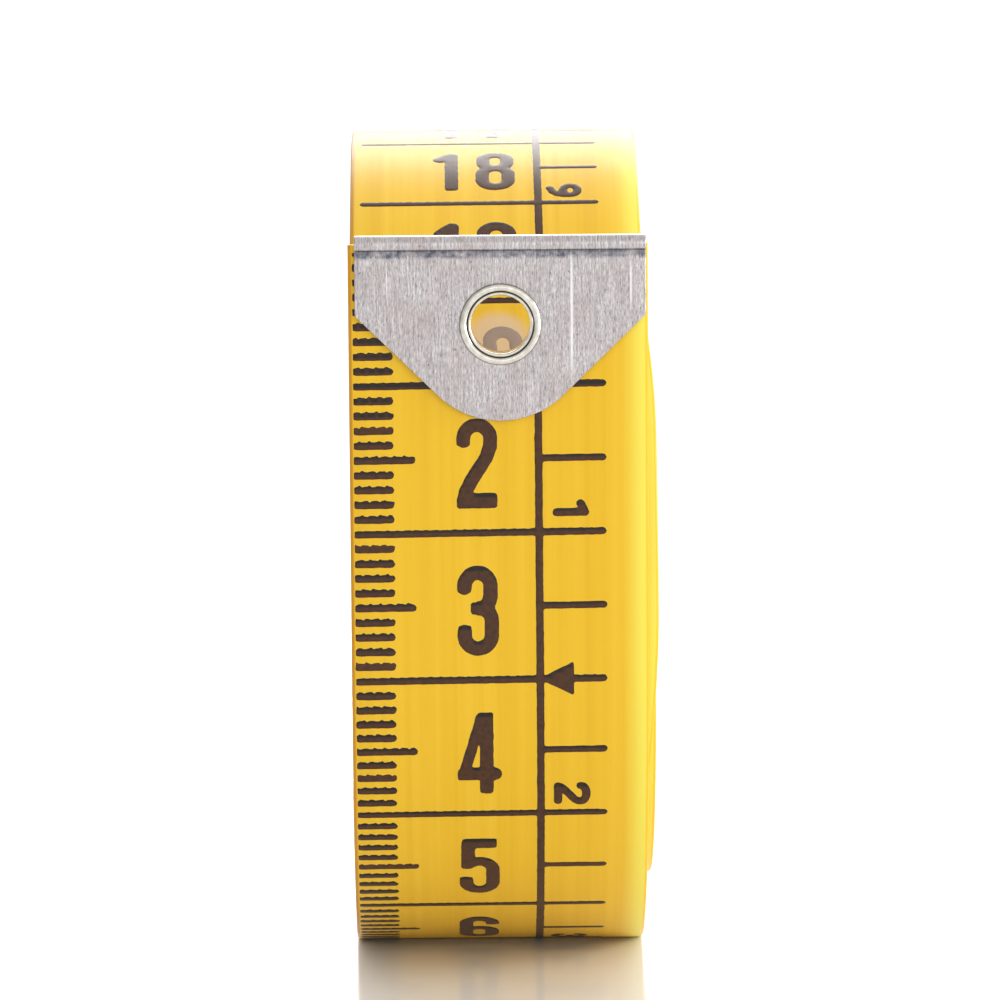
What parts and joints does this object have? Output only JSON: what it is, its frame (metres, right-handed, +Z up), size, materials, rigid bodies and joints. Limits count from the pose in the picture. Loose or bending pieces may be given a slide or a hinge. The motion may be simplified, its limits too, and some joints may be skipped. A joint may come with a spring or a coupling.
{
  "type": "tailor's measuring tape",
  "caption": "Soft printed measuring tape rolled into a standing coil, with a folded metal tip and an eyelet on its free outer end.",
  "frame": {"origin": "middle of the bounding box, on the floor that the coil stands on", "axes": "+X across the tape along the coil's axis, -Y towards the free outer end at the front, +Z up"},
  "size_m": [0.0208, 0.0644, 0.0552],
  "materials": {
    "tape": "satin coated strip with dark raised print",
    "tip": "brushed lengthwise, lightly scratched",
    "eyelet": "bright nickel"
  },
  "bodies": {
    "coil": {"tape_coil": "tape"},
    "lead_1": {"tape_lead_1": "tape"},
    "lead_2": {"tape_lead_2": "tape"},
    "lead_3": {"tape_lead_3": "tape"},
    "lead_4": {"tape_lead_4": "tape"},
    "lead_5": {"tape_lead_5": "tape", "end_tip": "tip", "eyelet": "eyelet"},
    "tail_1": {"tape_tail_1": "tape"},
    "tail_2": {"tape_tail_2": "tape"},
    "tail_3": {"tape_tail_3": "tape", "tail_clip": "tip"}
  },
  "joints": [
    {"name": "lead_peel", "type": "hinge", "parent": "coil", "child": "lead_1", "pos_m": [-0.0004, -0.02441, 0.00638], "axis": [1, 0, 0], "range_deg": [0, 20], "stiffness_Nm_per_rad": 0.005},
    {"name": "lead_peel_2", "type": "hinge", "parent": "lead_1", "child": "lead_2", "pos_m": [-0.0004, -0.02917, 0.01276], "axis": [1, 0, 0], "range_deg": [0, 20]},
    {"name": "lead_peel_3", "type": "hinge", "parent": "lead_2", "child": "lead_3", "pos_m": [-0.0004, -0.03145, 0.02038], "axis": [1, 0, 0], "range_deg": [0, 20]},
    {"name": "tip_flex", "type": "hinge", "parent": "lead_3", "child": "lead_4", "pos_m": [-0.0004, -0.03154, 0.02838], "axis": [1, 0, 0], "range_deg": [-12, 24], "stiffness_Nm_per_rad": 0.005},
    {"name": "tip_flex_2", "type": "hinge", "parent": "lead_4", "child": "lead_5", "pos_m": [-0.0004, -0.03142, 0.03637], "axis": [1, 0, 0], "range_deg": [-12, 24]},
    {"name": "tail_flex", "type": "hinge", "parent": "coil", "child": "tail_1", "pos_m": [0.0004, -0.00154, 0.00589], "axis": [1, 0, 0], "range_deg": [0, 20], "stiffness_Nm_per_rad": 0.005},
    {"name": "tail_flex_2", "type": "hinge", "parent": "tail_1", "child": "tail_2", "pos_m": [0.0004, 0.00728, 0.00753], "axis": [1, 0, 0], "range_deg": [0, 20]},
    {"name": "tail_flex_3", "type": "hinge", "parent": "tail_2", "child": "tail_3", "pos_m": [0.0004, 0.0156, 0.01091], "axis": [1, 0, 0], "range_deg": [0, 20]}
  ],
  "couplings": [
    {"joint": "lead_peel_2", "follows": "lead_peel", "ratio": 1},
    {"joint": "lead_peel_3", "follows": "lead_peel", "ratio": 1},
    {"joint": "tip_flex_2", "follows": "tip_flex", "ratio": 1},
    {"joint": "tail_flex_2", "follows": "tail_flex", "ratio": 1},
    {"joint": "tail_flex_3", "follows": "tail_flex", "ratio": 1}
  ]
}
